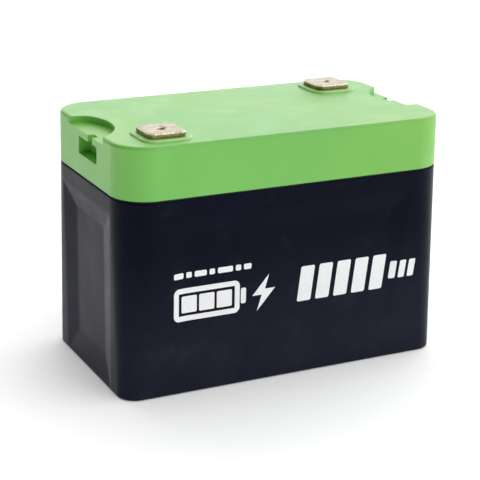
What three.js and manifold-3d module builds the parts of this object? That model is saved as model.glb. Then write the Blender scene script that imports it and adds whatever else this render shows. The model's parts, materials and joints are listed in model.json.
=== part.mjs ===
// Rechargeable 12 V lithium iron phosphate battery in a moulded block case.
// Units are millimetres, +Z is up. The origin is the centre of the base.
// +X runs along the long side, the broad front face looks to -Y.
import * as THREE from 'three';
import { mergeVertices } from 'three/addons/utils/BufferGeometryUtils.js';
import { ConvexGeometry } from 'three/addons/geometries/ConvexGeometry.js';
import Module from 'manifold-3d';

const wasm = await Module();
wasm.setup();

// ---------------------------------------------------------------- driving dimensions
const GAP = 0.3;               // clearance between faces that touch on the real object

const LENGTH = 306;            // overall, X
const WIDTH = 173;             // overall, Y
const CASE_TOP = 171.6;        // height of the case's rim
const LID_BOTTOM = 173.1;      // height of the lid's lower edge
const LID_TOP = 218.0;         // height of the lid's flat top
const CORNER_R_TOP = 31;       // vertical corner radius at the rim
const CORNER_R_BASE = 17;      // vertical corner radius at the base
const DRAFT_END = 0.4;         // how far an end wall leans in from rim to base
const DRAFT_SIDE = 3.5;        // how far a long wall leans in from rim to base
const LID_DRAFT = 0.4;
const LID_EDGE_R = 2.5;        // rounding of the lid's top edge
const BASE_EDGE = 1.2;         // chamfer under the base

const CAVITY_HALF_X = 146.7;   // inside of the case
const CAVITY_HALF_Y = 80.6;
const FLOOR_T = 3.0;
const LIP_TOP = 177.4;         // locating lip of the case, inside the lid
const LID_WALL = 3.2;
const LID_CEILING = 214.2;     // underside of the lid's top wall

const PANEL_TOP_OUT = 157;     // sunk panels: where the bevel starts, under the rim band
const SIDE_PANEL = { depth: 3.3, inner: 98, outer: 121, topIn: 139, lowIn: -6 };   // upright, so it runs out near the base
const END_PANEL = { depth: 4, inner: 32, outer: 55.2, topIn: 139, lowIn: 24 };     // its bottom bevel runs out at the base

// finger notch at each end of the lid, shallow beside the terminal and squarer away from it, in plan from the end face
const NOTCH = { r: 51, cx: 26.5, cy: -3.5, corner: 12, side: 35.6, round: 5 };
const NOTCH_FLOOR = 212;
const SOCKET_Y = 6;            // the socket stands this far off centre, towards the terminal of its own end
const SOCKET_HALF_W = 21;      // socket for a handle's cross bar, under the notch's floor
const SOCKET_DEPTH = 10.5;
const SOCKET_LOW = 191.4;
const SOCKET_HIGH = 206.2;
const NECK = { depth: 6, width: 11, r: 2.2 };   // neck slot through the notch's floor
const NECK_Y = 12;             // centre of the neck, off centre the same way

const TERM_X = 106.5;          // terminals stand on one diagonal: (-X, -Y) and (+X, +Y)
const TERM_Y = 53;
const BOSS = 44.5;               // square raised boss under each terminal
const BOSS_R = 12;
const BOSS_TOP = 219.9;
const PAD = 33.2;              // square contact pad
const PAD_R = 5;
const PAD_T = 4;
const POST_R = 8;
const POST_LOW = 190.5;
const THREAD_R = 4.1;          // M8 blind thread
const THREAD_LOW = 205.7;

const CELL = { x: 50, y: 160, z: 118.5 };  // prismatic cell
const CELL_PITCH = 52.2;
const CELL_Z = 7.0;
const CELL_POLE_Y = 55;        // cell poles lie at +/- this
const CELL_POLE_H = 3;

// ---------------------------------------------------------------- solid helpers
function solid(geometry) {
  const g = geometry.clone();
  g.deleteAttribute('normal');
  g.deleteAttribute('uv');
  const m = mergeVertices(g, 1e-4);
  return new wasm.Manifold(new wasm.Mesh({
    numProp: 3,
    vertProperties: Float32Array.from(m.attributes.position.array),
    triVerts: Uint32Array.from(m.index.array),
  }));
}
function geometryOf(manifold) {
  const mesh = manifold.getMesh();
  const g = new THREE.BufferGeometry();
  g.setAttribute('position', new THREE.BufferAttribute(Float32Array.from(mesh.vertProperties), 3));
  g.setIndex(new THREE.BufferAttribute(Uint32Array.from(mesh.triVerts), 1));
  g.computeVertexNormals();
  return g;
}
// points of a rounded rectangle, counter-clockwise
function outline(w, d, r, n) {
  const pts = [];
  const corners = [[w / 2 - r, -d / 2 + r, -90], [w / 2 - r, d / 2 - r, 0], [-w / 2 + r, d / 2 - r, 90], [-w / 2 + r, -d / 2 + r, 180]];
  for (const [cx, cy, a0] of corners) {
    for (let k = 0; k <= n; k++) {
      const a = THREE.MathUtils.degToRad(a0 + (90 * k) / n);
      pts.push(new THREE.Vector2(cx + r * Math.cos(a), cy + r * Math.sin(a)));
    }
  }
  return pts;
}
// an extruded rounded rectangle whose size and corner radius change from level to level
function loft(levels, n = 8) {
  const rings = levels.map((l) => outline(l.w, l.d, l.r, n));
  const g = new THREE.ExtrudeGeometry(new THREE.Shape(rings[0]), { depth: 1, steps: levels.length - 1, bevelEnabled: false });
  const p = g.attributes.position;
  for (let i = 0; i < p.count; i++) {
    const k = Math.round(p.getZ(i) * (levels.length - 1));
    let best = 0;
    let dist = Infinity;
    rings[0].forEach((q, j) => {
      const e = Math.hypot(q.x - p.getX(i), q.y - p.getY(i));
      if (e < dist) { dist = e; best = j; }
    });
    p.setXYZ(i, rings[k][best].x, rings[k][best].y, levels[k].z);
  }
  return g;
}
const cylinder = (r, z0, z1, n = 24, r1 = r) => new THREE.CylinderGeometry(r1, r, z1 - z0, n).rotateX(Math.PI / 2).translate(0, 0, (z0 + z1) / 2);
const block = (x0, x1, y0, y1, z0, z1) => new THREE.BoxGeometry(x1 - x0, y1 - y0, z1 - z0).translate((x0 + x1) / 2, (y0 + y1) / 2, (z0 + z1) / 2);
function washer(rOut, rIn, z0, z1, n = 24) {
  return solid(cylinder(rOut, z0, z1, n)).subtract(solid(cylinder(rIn, z0 - 1, z1 + 1, n)));
}
function hexNut(acrossFlats, rIn, z0, z1) {
  const c = 0.8;
  const hex = solid(cylinder(acrossFlats / Math.sqrt(3), z0, z1, 6));
  const barrel = solid(loftRound(acrossFlats / 2 + c, [[z0, -c], [z0 + c, 0.9], [z1 - c, 0.9], [z1, -c]]));
  return hex.intersect(barrel).subtract(solid(cylinder(rIn, z0 - 1, z1 + 1, 20)));
}
// the finger notch in plan, x outwards from the right-hand end face: a main arc, a tighter corner on the side away
// from the terminal, and two rounded corners at the face
function notchOutline(nArc = 26, nCorner = 5) {
  const { r, cx, cy, corner, side, round: q } = NOTCH;
  const rx = -LID_DRAFT - q;   // centres of the roundings at the face
  const ry = Math.sqrt((r + q) ** 2 - (cx - rx) ** 2);
  const tilt = Math.atan2(ry, cx - rx);
  const ky = corner - side;    // centre of the tighter corner
  const kx = cx - Math.sqrt((r - corner) ** 2 - (ky - cy) ** 2);
  const end = Math.atan2(ky - cy, kx - cx) + 2 * Math.PI;
  const pts = [new THREE.Vector2(6, -side - q), new THREE.Vector2(6, cy + ry)];
  const arc = (x, y, radius, a0, a1, n, first = 0) => {
    for (let k = first; k <= n; k++) {
      const a = a0 + ((a1 - a0) * k) / n;
      pts.push(new THREE.Vector2(x + radius * Math.cos(a), y + radius * Math.sin(a)));
    }
  };
  arc(rx, cy + ry, q, 0, -tilt, nCorner);
  arc(cx, cy, r, Math.PI - tilt, end, nArc, 1);
  arc(kx, ky, corner, end, 1.5 * Math.PI, nCorner, 1);
  arc(rx, -side - q, q, Math.PI / 2, 0, nCorner);
  return pts;
}
// a turned shape: radius offsets at the given heights
function loftRound(r, steps) {
  const prof = [new THREE.Vector2(0, steps[0][0])];
  for (const [z, dr] of steps) prof.push(new THREE.Vector2(r + dr, z));
  prof.push(new THREE.Vector2(0, steps[steps.length - 1][0]));
  return new THREE.LatheGeometry(prof, 24).rotateX(Math.PI / 2);
}
// a cable along a smooth curve
function cable(points, radius, steps, sides = 8) {
  const section = new THREE.Shape();
  for (let k = 0; k < sides; k++) {
    const a = (2 * Math.PI * (k + 0.5)) / sides;
    if (k === 0) section.moveTo(radius * Math.cos(a), radius * Math.sin(a));
    else section.lineTo(radius * Math.cos(a), radius * Math.sin(a));
  }
  section.closePath();
  const path = new THREE.CatmullRomCurve3(points.map((p) => new THREE.Vector3(...p)), false, 'centripetal');
  return new THREE.ExtrudeGeometry(section, { steps, bevelEnabled: false, extrudePath: path });
}

// ---------------------------------------------------------------- materials
const mat = (color, roughness, metalness) => new THREE.MeshStandardMaterial({ color, roughness, metalness });
const M = {
  caseBlack: () => mat(0x1d1f29, 0.42, 0),
  lidGreen: () => mat(0x8fce5f, 0.38, 0),
  gasket: () => mat(0x0c0d0f, 0.75, 0),
  pole: () => mat(0xd9c3a8, 0.3, 1),
  steel: () => mat(0xa9adb2, 0.35, 1),
  aluminium: () => mat(0xb9bdc2, 0.4, 1),
  copper: () => mat(0xb87650, 0.35, 1),
  cellBlue: () => mat(0x2a5ea8, 0.45, 0),
  foam: () => mat(0x2b2c2e, 0.95, 0),
  board: () => mat(0x1f5f3a, 0.5, 0),
  plate: () => mat(0xd8c98a, 0.6, 0),
  cableRed: () => mat(0xb02020, 0.5, 0),
  cableBlack: () => mat(0x151515, 0.5, 0),
  chip: () => mat(0x202124, 0.5, 0),
  white: () => mat(0xe4e2da, 0.5, 0),
  strap: () => mat(0x2f6b4a, 0.6, 0),
};

const battery = new THREE.Group();
const housing = new THREE.Group();
const terminals = new THREE.Group();
const pack = new THREE.Group();
const electronics = new THREE.Group();
battery.add(housing, terminals, pack, electronics);
function put(group, name, shape, material, x = 0, y = 0, z = 0, turn = 0) {
  const g = shape.isBufferGeometry ? shape : geometryOf(shape);
  const mesh = new THREE.Mesh(g, material);
  mesh.name = name;
  mesh.position.set(x, y, z);
  mesh.rotation.z = turn;
  group.add(mesh);
  return mesh;
}

// ---------------------------------------------------------------- case
// The bevelled cutter for a sunk panel on the face whose outward direction is -Y at distance `face`.
function panelCutter(face, draft, { depth, inner, outer, topIn, lowIn }) {
  const far = depth + 2;
  const sx = (outer - inner) / depth;
  const st = (PANEL_TOP_OUT - topIn) / depth;
  const sl = lowIn > 0 ? (lowIn - 0.6) / (depth - draft) : 0;
  const pts = [];
  for (const s of [-1, 1]) {
    pts.push(new THREE.Vector3(s * inner, depth - face, lowIn), new THREE.Vector3(s * inner, depth - face, topIn));
    pts.push(new THREE.Vector3(s * (inner + sx * far), depth - face - far, lowIn - sl * far));
    pts.push(new THREE.Vector3(s * (inner + sx * far), depth - face - far, topIn + st * far));
  }
  return new ConvexGeometry(pts);
}
const baseL = LENGTH - 2 * DRAFT_END;
const baseW = WIDTH - 2 * DRAFT_SIDE;
let caseSolid = solid(loft([
  { w: baseL - 2 * BASE_EDGE, d: baseW - 2 * BASE_EDGE, r: CORNER_R_BASE - BASE_EDGE, z: 0 },
  { w: baseL, d: baseW, r: CORNER_R_BASE, z: BASE_EDGE },
  { w: LENGTH, d: WIDTH, r: CORNER_R_TOP, z: CASE_TOP },
], 8));
for (const turn of [0, Math.PI]) {
  caseSolid = caseSolid.subtract(solid(panelCutter(WIDTH / 2, DRAFT_SIDE, SIDE_PANEL).rotateZ(turn)));
  caseSolid = caseSolid.subtract(solid(panelCutter(LENGTH / 2, DRAFT_END, END_PANEL).rotateZ(turn + Math.PI / 2)));
}
const lipX = LENGTH / 2 - LID_WALL - 0.4;
const lipY = WIDTH / 2 - LID_WALL - 0.4;
caseSolid = caseSolid.add(solid(loft([
  { w: 2 * lipX, d: 2 * lipY, r: CORNER_R_TOP - LID_WALL - 0.4, z: CASE_TOP - 4 },
  { w: 2 * lipX, d: 2 * lipY, r: CORNER_R_TOP - LID_WALL - 0.4, z: LIP_TOP },
], 8)));
caseSolid = caseSolid.subtract(solid(loft([
  { w: 2 * CAVITY_HALF_X, d: 2 * CAVITY_HALF_Y, r: 14, z: FLOOR_T },
  { w: 2 * CAVITY_HALF_X, d: 2 * CAVITY_HALF_Y, r: 25, z: LIP_TOP + 1 },
], 8)));
put(housing, 'case_shell', caseSolid, M.caseBlack());

// ---------------------------------------------------------------- seam gasket
const ring = (z0, z1, out, inn) => solid(loft([
  { w: LENGTH - 2 * out, d: WIDTH - 2 * out, r: CORNER_R_TOP - out, z: z0 },
  { w: LENGTH - 2 * out, d: WIDTH - 2 * out, r: CORNER_R_TOP - out, z: z1 },
], 8)).subtract(solid(loft([
  { w: LENGTH - 2 * inn, d: WIDTH - 2 * inn, r: CORNER_R_TOP - inn, z: z0 - 1 },
  { w: LENGTH - 2 * inn, d: WIDTH - 2 * inn, r: CORNER_R_TOP - inn, z: z1 + 1 },
], 8)));
put(housing, 'seam_gasket', ring(CASE_TOP + GAP, LID_BOTTOM - GAP, 0.9, LID_WALL), M.gasket());

// ---------------------------------------------------------------- lid
const e = LID_EDGE_R;
let lid = solid(loft([
  { w: LENGTH, d: WIDTH, r: CORNER_R_TOP, z: LID_BOTTOM },
  { w: LENGTH - 2 * LID_DRAFT, d: WIDTH - 2 * LID_DRAFT, r: CORNER_R_TOP - LID_DRAFT, z: LID_TOP - e },
  { w: LENGTH - 2 * (LID_DRAFT + 0.293 * e), d: WIDTH - 2 * (LID_DRAFT + 0.293 * e), r: CORNER_R_TOP - LID_DRAFT - 0.293 * e, z: LID_TOP - 0.293 * e },
  { w: LENGTH - 2 * (LID_DRAFT + e), d: WIDTH - 2 * (LID_DRAFT + e), r: CORNER_R_TOP - LID_DRAFT - e, z: LID_TOP },
], 8));
let hollow = solid(loft([
  { w: LENGTH - 2 * LID_WALL, d: WIDTH - 2 * LID_WALL, r: CORNER_R_TOP - LID_WALL, z: LID_BOTTOM - 2 },
  { w: LENGTH - 2 * LID_WALL, d: WIDTH - 2 * LID_WALL, r: CORNER_R_TOP - LID_WALL, z: LID_CEILING },
], 8));
const socketBlockX = LENGTH / 2 - 28;
for (const s of [-1, 1]) {
  const xs = [s * socketBlockX, s * (LENGTH / 2 + 5)].sort((a, b) => a - b);
  hollow = hollow.subtract(solid(block(xs[0], xs[1], -49, 49, SOCKET_LOW - 3.4, LID_TOP + 2)));
}
lid = lid.subtract(hollow);
for (const s of [-1, 1]) {
  lid = lid.add(solid(loft([
    { w: BOSS, d: BOSS, r: BOSS_R, z: LID_TOP - 1.5 },
    { w: BOSS, d: BOSS, r: BOSS_R, z: BOSS_TOP - 0.5 },
    { w: BOSS - 1, d: BOSS - 1, r: BOSS_R - 0.5, z: BOSS_TOP },
  ], 6).translate(s * TERM_X, s * TERM_Y, 0)));
}
for (const s of [-1, 1]) {
  const face = LENGTH / 2;
  const notch = new THREE.ExtrudeGeometry(new THREE.Shape(notchOutline()), { depth: LID_TOP + 6 - NOTCH_FLOOR, bevelEnabled: false });
  lid = lid.subtract(solid(notch.translate(face, 0, NOTCH_FLOOR).rotateZ(s > 0 ? 0 : Math.PI)));
  const xs = [s * (face - SOCKET_DEPTH), s * (face + 5)].sort((a, b) => a - b);
  lid = lid.subtract(solid(block(xs[0], xs[1], s * SOCKET_Y - SOCKET_HALF_W, s * SOCKET_Y + SOCKET_HALF_W, SOCKET_LOW, SOCKET_HIGH)));
  lid = lid.subtract(solid(loft([
    { w: 2 * NECK.depth, d: NECK.width, r: NECK.r, z: SOCKET_HIGH - 1 },
    { w: 2 * NECK.depth, d: NECK.width, r: NECK.r, z: NOTCH_FLOOR + 1 },
  ], 5).translate(s * face, s * NECK_Y, 0)));
  lid = lid.subtract(solid(cylinder(POST_R + 0.4, LID_CEILING - 2, BOSS_TOP + 2, 24).translate(s * TERM_X, s * TERM_Y, 0)));
}
put(housing, 'lid_cover', lid, M.lidGreen());

// ---------------------------------------------------------------- terminals
const padLow = BOSS_TOP + GAP;
const padTop = padLow + PAD_T;
function terminalBlock() {
  let t = solid(loft([
    { w: PAD, d: PAD, r: PAD_R, z: padLow },
    { w: PAD, d: PAD, r: PAD_R, z: padTop - 0.9 },
    { w: PAD - 1.8, d: PAD - 1.8, r: PAD_R - 0.9, z: padTop },
  ], 5));
  t = t.add(solid(cylinder(POST_R, POST_LOW, padLow + 1, 24)));
  t = t.subtract(solid(cylinder(THREAD_R, THREAD_LOW, padTop + 1, 20)));
  return t.subtract(solid(cylinder(THREAD_R, padTop - 1.2, padTop + 0.1, 20, THREAD_R + 1.3)));
}
for (const [label, s] of [['positive', -1], ['negative', 1]]) {
  const x = s * TERM_X;
  const y = s * TERM_Y;
  put(terminals, `terminal_block_${label}`, terminalBlock(), M.pole(), x, y);
  put(terminals, `terminal_seal_${label}`, washer(15, POST_R + 0.3, LID_CEILING - 2.5, LID_CEILING - GAP), M.gasket(), x, y);
  put(terminals, `terminal_washer_${label}`, washer(14, POST_R + 0.3, LID_CEILING - 4.4, LID_CEILING - 2.8), M.steel(), x, y);
  put(terminals, `terminal_locknut_${label}`, hexNut(26, POST_R + 0.3, LID_CEILING - 11.2, LID_CEILING - 4.7), M.steel(), x, y);
  put(terminals, `lug_locknut_${label}`, hexNut(26, POST_R + 0.3, LID_CEILING - 20.8, LID_CEILING - 14.6), M.steel(), x, y);
}

// ---------------------------------------------------------------- cell pack
put(pack, 'base_pad', geometryOf(solid(loft([
  { w: 282, d: 155, r: 12, z: FLOOR_T + GAP },
  { w: 282, d: 155, r: 12, z: FLOOR_T + 3 },
], 3))), M.foam());
const cellTop = CELL_Z + CELL.z;
const poleTop = cellTop + CELL_POLE_H;
function cellBody() {
  let c = solid(loft([
    { w: CELL.x, d: CELL.y, r: 2, z: CELL_Z },
    { w: CELL.x, d: CELL.y, r: 2, z: cellTop },
  ], 2));
  for (const s of [-1, 1]) {
    c = c.add(solid(cylinder(9, cellTop - 1, poleTop, 20).translate(0, s * CELL_POLE_Y, 0)));
    c = c.add(solid(cylinder(3, poleTop - 1, poleTop + 9, 12).translate(0, s * CELL_POLE_Y, 0)));
  }
  // pressure relief disc in a shallow sink between the poles
  c = c.subtract(solid(cylinder(8, cellTop - 0.8, cellTop + 1, 20)));
  return c.add(solid(cylinder(5, cellTop - 1.2, cellTop - 0.3, 16)));
}
const cellX = [-1.5, -0.5, 0.5, 1.5].map((k) => k * CELL_PITCH);
cellX.forEach((x, i) => put(pack, `cell_${i + 1}`, cellBody(), M.cellBlue(), x));
for (let i = 0; i < 3; i++) {
  const x = (cellX[i] + cellX[i + 1]) / 2;
  put(pack, `cell_separator_${i + 1}`, new THREE.BoxGeometry(CELL_PITCH - CELL.x - 2 * GAP, 156, 112), M.plate(), x, 0, CELL_Z + 3 + 56);
}
const stackEnd = cellX[3] + CELL.x / 2;
for (const [label, s] of [['left', -1], ['right', 1]]) {
  put(pack, `end_plate_${label}`, new THREE.BoxGeometry(2, 158, 114), M.plate(), s * (stackEnd + GAP + 1), 0, CELL_Z + 2 + 57);
  put(pack, `end_foam_${label}`, geometryOf(solid(loft([
    { w: 38, d: 128, r: 6, z: CELL_Z },
    { w: 38, d: 128, r: 6, z: CELL_Z + 112 },
  ], 3))), M.foam(), s * (stackEnd + 2 * GAP + 2 + 0.5 + 19));
}
// straps round the stack of cells and end plates, over the top and under the base
for (const [label, y] of [['front', -27], ['rear', 27]]) {
  const hx = stackEnd + GAP + 2 + 0.1;
  const outer = solid(block(-hx - 0.4, hx + 0.4, y - 8, y + 8, CELL_Z - 0.7, cellTop + 0.7));
  const inner = solid(block(-hx, hx, y - 9, y + 9, CELL_Z - 0.3, cellTop + 0.3));
  put(pack, `stack_strap_${label}`, outer.subtract(inner), M.strap());
}
// series links between neighbouring cells
const linkZ = poleTop + GAP;
const LINK_T = 2.5;
[[0, -1], [1, 1], [2, -1]].forEach(([i, s], k) => {
  let link = solid(loft([
    { w: CELL_PITCH + 20, d: 20, r: 9.5, z: linkZ },
    { w: CELL_PITCH + 20, d: 20, r: 9.5, z: linkZ + LINK_T },
  ], 5));
  for (const t of [-1, 1]) link = link.subtract(solid(cylinder(3.4, linkZ - 1, linkZ + 4, 12).translate(t * CELL_PITCH / 2, 0, 0)));
  put(pack, `series_link_${k + 1}`, link, M.copper(), (cellX[i] + cellX[i + 1]) / 2, s * CELL_POLE_Y);
});
// one nut on every cell stud
const nutLow = linkZ + LINK_T + GAP;
cellX.forEach((x, i) => {
  for (const [label, s] of [['front', -1], ['rear', 1]]) {
    put(pack, `cell_nut_${i + 1}_${label}`, hexNut(10, 3.3, nutLow, nutLow + 5), M.steel(), x, s * CELL_POLE_Y);
  }
});

// ---------------------------------------------------------------- battery management board
const trayZ = cellTop + 1.0;
let tray = solid(block(-78, 78, -38, 38, trayZ, trayZ + 9));
tray = tray.subtract(solid(block(-76, 76, -36, 36, trayZ + 2, trayZ + 12)));
put(electronics, 'bms_tray', tray, M.white());
const sinkZ = trayZ + 2 + GAP;
put(electronics, 'bms_heat_spreader', geometryOf(solid(block(-68, 68, -31, 31, sinkZ, sinkZ + 3))), M.aluminium());
const boardZ = sinkZ + 3 + GAP + 4;
for (const [i, sx, sy] of [[1, -1, -1], [2, 1, -1], [3, -1, 1], [4, 1, 1]]) {
  put(electronics, `bms_standoff_${i}`, new THREE.CylinderGeometry(3, 3, 4 - GAP, 8).rotateX(Math.PI / 2), M.steel(), sx * 60, sy * 27, sinkZ + 3 + GAP + (4 - GAP) / 2);
}
let board = solid(block(-66, 66, -31, 31, boardZ, boardZ + 1.6));
put(electronics, 'bms_board', board, M.board());
put(electronics, 'bms_transistors', geometryOf(solid(block(-30, 42, -24, -12, boardZ + 1.9, boardZ + 6.4))), M.chip());
put(electronics, 'bms_shunt', geometryOf(solid(block(-10, 20, 6, 12, boardZ + 1.9, boardZ + 5.4))), M.copper());
put(electronics, 'bms_balance_socket', geometryOf(solid(block(-58, -46, -16, 8, boardZ + 1.9, boardZ + 8.9))), M.white());

// ---------------------------------------------------------------- leads and lugs
// ring lug at a cell pole: flat ring with a crimp barrel that rises along +Y or along X
function lug(rOut, rIn, t, barrelR, barrelL, zLift) {
  let l = solid(cylinder(rOut, 0, t, 20));
  l = l.add(solid(block(0, rOut + 4, -barrelR * 0.9, barrelR * 0.9, 0, t)));
  const tube = new THREE.CylinderGeometry(barrelR, barrelR, barrelL, 12).rotateZ(Math.PI / 2).translate(rOut + 2 + barrelL / 2, 0, zLift);
  return l.add(solid(tube)).subtract(solid(cylinder(rIn, -1, t + 1, 16)));
}
const termLugZ = LID_CEILING - 14.3;
// positive: cell 1 rear pole to the terminal at (-X, -Y)
put(electronics, 'cell_lug_positive', lug(9.2, 3.4, LINK_T, 5.5, 14, 3.2), M.copper(), cellX[0], CELL_POLE_Y, linkZ, Math.PI);
put(electronics, 'terminal_lug_positive', lug(13.5, POST_R + 0.4, 2.6, 5.5, 14, 2.6), M.copper(), -TERM_X, -TERM_Y, termLugZ, Math.PI / 2);
put(electronics, 'positive_lead', cable([
  [cellX[0] - 25.7, CELL_POLE_Y, linkZ + 3.2], [cellX[0] - 33, CELL_POLE_Y, linkZ + 3.2], [cellX[0] - 44, CELL_POLE_Y - 9, linkZ + 12],
  [cellX[0] - 41, CELL_POLE_Y - 28, linkZ + 33], [cellX[0] - 30, 10, linkZ + 52], [-TERM_X, -10, termLugZ + 2.6], [-TERM_X, -TERM_Y + 30.2, termLugZ + 2.6],
], 4.6, 40, 10), M.cableRed());
// battery negative: cell 4 rear pole to the board
put(electronics, 'cell_lug_negative', lug(9.2, 3.4, LINK_T, 5.5, 14, 3.2), M.copper(), cellX[3], CELL_POLE_Y, linkZ, 0);
put(electronics, 'board_lead', cable([
  [cellX[3] + 25.7, CELL_POLE_Y, linkZ + 3.2], [cellX[3] + 33, CELL_POLE_Y, linkZ + 3.2], [cellX[3] + 40, CELL_POLE_Y - 10, linkZ + 12],
  [cellX[3] + 26, CELL_POLE_Y - 30, linkZ + 25], [cellX[3] + 6, 22, linkZ + 24], [66, 20, boardZ + 7.2], [54.1, 20, boardZ + 7.2],
], 4.6, 34, 10), M.cableBlack());
put(electronics, 'board_lug_battery', geometryOf(solid(block(38, 53.7, 15, 25, boardZ + 1.9, boardZ + 11.6))), M.copper());
// output negative: the board to the terminal at (+X, +Y)
put(electronics, 'terminal_lug_negative', lug(13.5, POST_R + 0.4, 2.6, 5.5, 14, 2.6), M.copper(), TERM_X, TERM_Y, termLugZ, -Math.PI / 2);
put(electronics, 'board_lug_output', geometryOf(solid(block(38, 53.7, -9, 3, boardZ + 1.9, boardZ + 11.6))), M.copper());
put(electronics, 'negative_lead', cable([
  [54.1, -3, boardZ + 7.2], [66, -3, boardZ + 7.2], [86, -6, boardZ + 20], [100, -8, boardZ + 44], [TERM_X, 4, termLugZ + 2.6], [TERM_X, TERM_Y - 30.2, termLugZ + 2.6],
], 4.6, 30, 10), M.cableBlack());
// balance harness: a flat ribbon from the socket along the cells' front poles
put(electronics, 'balance_harness', cable([
  [-52, -16.8, boardZ + 6], [-52, -21, boardZ + 6.3], [-52, -27, boardZ + 8.2], [-51, -36, boardZ + 8], [-47, -44, boardZ + 4], [-38, -46, nutLow + 10], [0, -46, nutLow + 11], [40, -46, nutLow + 10], [66, -45, nutLow + 9],
], 2.2, 40, 8), M.white());

export default battery;
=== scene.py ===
"""Looks of a sealed block battery: a black tapered case, a green lid and two square threaded terminals.

Everything is in metres in the frame's own axes: +Z up, +X along the long side, the broad front face looks to -Y.
"""

import json
import math

import bpy
import numpy as np
from mathutils import Matrix, Vector


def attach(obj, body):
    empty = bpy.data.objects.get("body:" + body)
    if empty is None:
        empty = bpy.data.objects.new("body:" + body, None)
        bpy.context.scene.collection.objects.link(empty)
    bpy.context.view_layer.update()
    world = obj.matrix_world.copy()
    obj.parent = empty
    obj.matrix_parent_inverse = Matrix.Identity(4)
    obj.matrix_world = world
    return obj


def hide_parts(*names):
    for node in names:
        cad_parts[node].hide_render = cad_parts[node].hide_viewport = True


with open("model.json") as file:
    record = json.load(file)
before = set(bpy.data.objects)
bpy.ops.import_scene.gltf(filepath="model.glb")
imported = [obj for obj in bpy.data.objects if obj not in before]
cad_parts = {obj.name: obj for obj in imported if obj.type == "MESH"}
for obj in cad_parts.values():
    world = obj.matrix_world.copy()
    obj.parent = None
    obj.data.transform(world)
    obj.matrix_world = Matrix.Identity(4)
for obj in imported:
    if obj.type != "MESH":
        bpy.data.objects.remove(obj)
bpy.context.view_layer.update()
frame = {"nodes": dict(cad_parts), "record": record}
scene = bpy.context.scene
MM = 0.001

# ---------------------------------------------------------------- dimensions, millimetres
LENGTH, WIDTH = 306.0, 173.0
CASE_TOP, LID_BOTTOM, LID_TOP = 171.6, 173.1, 218.0
R_TOP, R_BASE = 31.0, 17.0
DRAFT_END, DRAFT_SIDE, LID_DRAFT = 0.4, 3.5, 0.4
BASE_EDGE = 1.2
CAVITY_X, CAVITY_Y, FLOOR_T, LIP_TOP = 146.7, 80.6, 3.0, 177.4
LID_WALL, LID_CEILING = 3.2, 214.2
PANEL_TOP_OUT = 157.0
SIDE_PANEL = dict(depth=3.3, inner=98.0, outer=121.0, top_in=139.0, low_in=None)
END_PANEL = dict(depth=4.0, inner=32.0, outer=55.2, top_in=139.0, low_in=24.0)
NOTCH = dict(r=51.0, cx=26.5, cy=-3.5, corner=12.0, side=35.6, round=5.0)
NOTCH_FLOOR = 212.0
SOCKET_Y = 6.0
SOCKET_HALF, SOCKET_DEPTH, SOCKET_LOW, SOCKET_HIGH = 21.0, 10.5, 191.4, 206.2
NECK_HALF, NECK_DEPTH, NECK_R, NECK_Y = 5.5, 6.0, 2.2, 12.0
TERM_X, TERM_Y = 106.5, 53.0
BOSS, BOSS_R, BOSS_TOP = 44.5, 12.0, 219.9
PAD, PAD_R, PAD_T = 33.2, 5.0, 4.0
PAD_LOW = BOSS_TOP + 0.3
PAD_TOP = PAD_LOW + PAD_T
POST_R, POST_LOW, THREAD_R, THREAD_LOW = 8.0, 190.5, 4.1, 205.7

PIECES = []


# ---------------------------------------------------------------- mesh helpers
def make_object(name, verts, faces, scale=MM):
    mesh = bpy.data.meshes.new(name)
    mesh.from_pydata([tuple(float(c) * scale for c in v) for v in verts], [], [tuple(f) for f in faces])
    mesh.validate()
    mesh.update()
    obj = bpy.data.objects.new(name, mesh)
    scene.collection.objects.link(obj)
    return obj


def bridge(rings, cap_start=True, cap_end=True, close=False):
    """Closed skin over rings that all have the same number of points, counter-clockwise about the way the rings go."""
    n = len(rings[0])
    verts = [p for r in rings for p in r]
    faces = []
    last = len(rings) if close else len(rings) - 1
    for k in range(last):
        a, b = k * n, ((k + 1) % len(rings)) * n
        for i in range(n):
            j = (i + 1) % n
            faces.append((a + i, a + j, b + j, b + i))
    if cap_start:
        faces.append(tuple(reversed(range(n))))
    if cap_end:
        m = (len(rings) - 1) * n
        faces.append(tuple(m + i for i in range(n)))
    return verts, faces


def smooth(obj, angle=35.0, weighted=True):
    mesh = obj.data
    mesh.polygons.foreach_set("use_smooth", [True] * len(mesh.polygons))
    mesh.set_sharp_from_angle(angle=math.radians(angle))
    if weighted:
        m = obj.modifiers.new("weighted", "WEIGHTED_NORMAL")
        m.keep_sharp = True
        m.weight = 80
    mesh.update()
    return obj


def baked(obj):
    """The object with its modifiers applied."""
    bpy.context.view_layer.update()
    dg = bpy.context.evaluated_depsgraph_get()
    mesh = bpy.data.meshes.new_from_object(obj.evaluated_get(dg))
    old = obj.data
    obj.modifiers.clear()
    obj.data = mesh
    mesh.name = obj.name
    if old.users == 0:
        bpy.data.meshes.remove(old)
    return obj


def combine(obj, others, operation):
    for o in others:
        m = obj.modifiers.new("cut", "BOOLEAN")
        m.operation = operation
        m.solver = "EXACT"
        m.object = o
        baked(obj)
    for o in others:
        mesh = o.data
        bpy.data.objects.remove(o)
        if mesh.users == 0:
            bpy.data.meshes.remove(mesh)
    return obj


def piece(obj, material, slot, *replaced):
    obj.data.materials.clear()
    obj.data.materials.append(material)
    if replaced:
        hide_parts(*replaced)
    PIECES.append(obj)
    return obj


# straight columns at fixed places along a side, so that a panel's edges keep their own columns
SIDE_COLS = np.concatenate([np.linspace(-121, -94, 19), np.linspace(-84, 84, 17), np.linspace(94, 121, 19)])
END_COLS = np.concatenate([np.linspace(-55.2, -28.5, 19), np.linspace(-21, 21, 7), np.linspace(28.5, 55.2, 19)])
ARC = 16


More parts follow.
